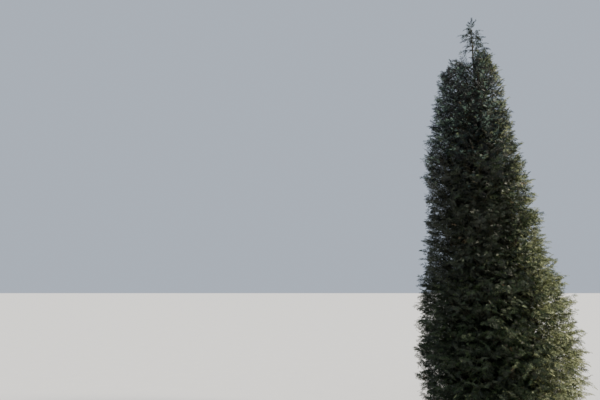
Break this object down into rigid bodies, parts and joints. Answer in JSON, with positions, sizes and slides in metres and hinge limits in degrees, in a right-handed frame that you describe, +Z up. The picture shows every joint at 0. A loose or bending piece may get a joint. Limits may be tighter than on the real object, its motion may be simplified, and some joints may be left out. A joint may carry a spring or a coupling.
{
  "type": "arborvitae",
  "caption": "Upright conical evergreen tree, clothed in flat fern-like sprays down to the ground, with a slender open leader at its top.",
  "frame": {"origin": "middle of the flat cut under the trunk, at ground level", "axes": "+Z up along the trunk; +X to the right and +Y away from the viewer of the picture"},
  "size_m": [1.8058, 1.8145, 5.3882],
  "materials": {
    "bark": "fibrous bark in narrow upright strips, matt",
    "foliage": "flat sprays of overlapping scale leaves, satin, dark green with yellow-olive ends"
  },
  "bodies": {
    "root": {"trunk": "bark", "bough_1_1": "bark", "bough_1_2": "bark", "bough_1_3": "bark", "bough_1_4": "bark", "bough_1_5": "bark", "bough_1_6": "bark", "bough_2_1": "bark", "bough_2_2": "bark", "bough_2_3": "bark", "bough_2_4": "bark", "bough_2_5": "bark", "bough_2_6": "bark", "bough_3_1": "bark", "bough_3_2": "bark", "bough_3_3": "bark", "bough_3_4": "bark", "bough_3_5": "bark", "bough_4_1": "bark", "bough_4_2": "bark", "bough_4_3": "bark", "bough_4_4": "bark", "foliage_1_1": "foliage", "foliage_1_2": "foliage", "foliage_1_3": "foliage", "foliage_1_4": "foliage", "foliage_1_5": "foliage", "foliage_1_6": "foliage", "foliage_2_1": "foliage", "foliage_2_2": "foliage", "foliage_2_3": "foliage", "foliage_2_4": "foliage", "foliage_2_5": "foliage", "foliage_2_6": "foliage", "foliage_3_1": "foliage", "foliage_3_2": "foliage", "foliage_3_3": "foliage", "foliage_3_4": "foliage", "foliage_3_5": "foliage", "foliage_4_1": "foliage", "foliage_4_2": "foliage", "foliage_4_3": "foliage", "foliage_4_4": "foliage", "foliage_5_1": "foliage", "foliage_5_2": "foliage", "foliage_5_3": "foliage", "foliage_5_4": "foliage", "foliage_6_1": "foliage", "foliage_6_2": "foliage", "foliage_6_3": "foliage", "foliage_6_4": "foliage", "leader_shoot_1": "foliage", "leader_shoot_2": "foliage", "leader_shoot_3": "foliage", "leader_shoot_4": "foliage", "leader_shoot_5": "foliage", "leader_shoot_6": "foliage", "leader_shoot_7": "foliage", "leader_tip": "foliage"}
  },
  "joints": []
}
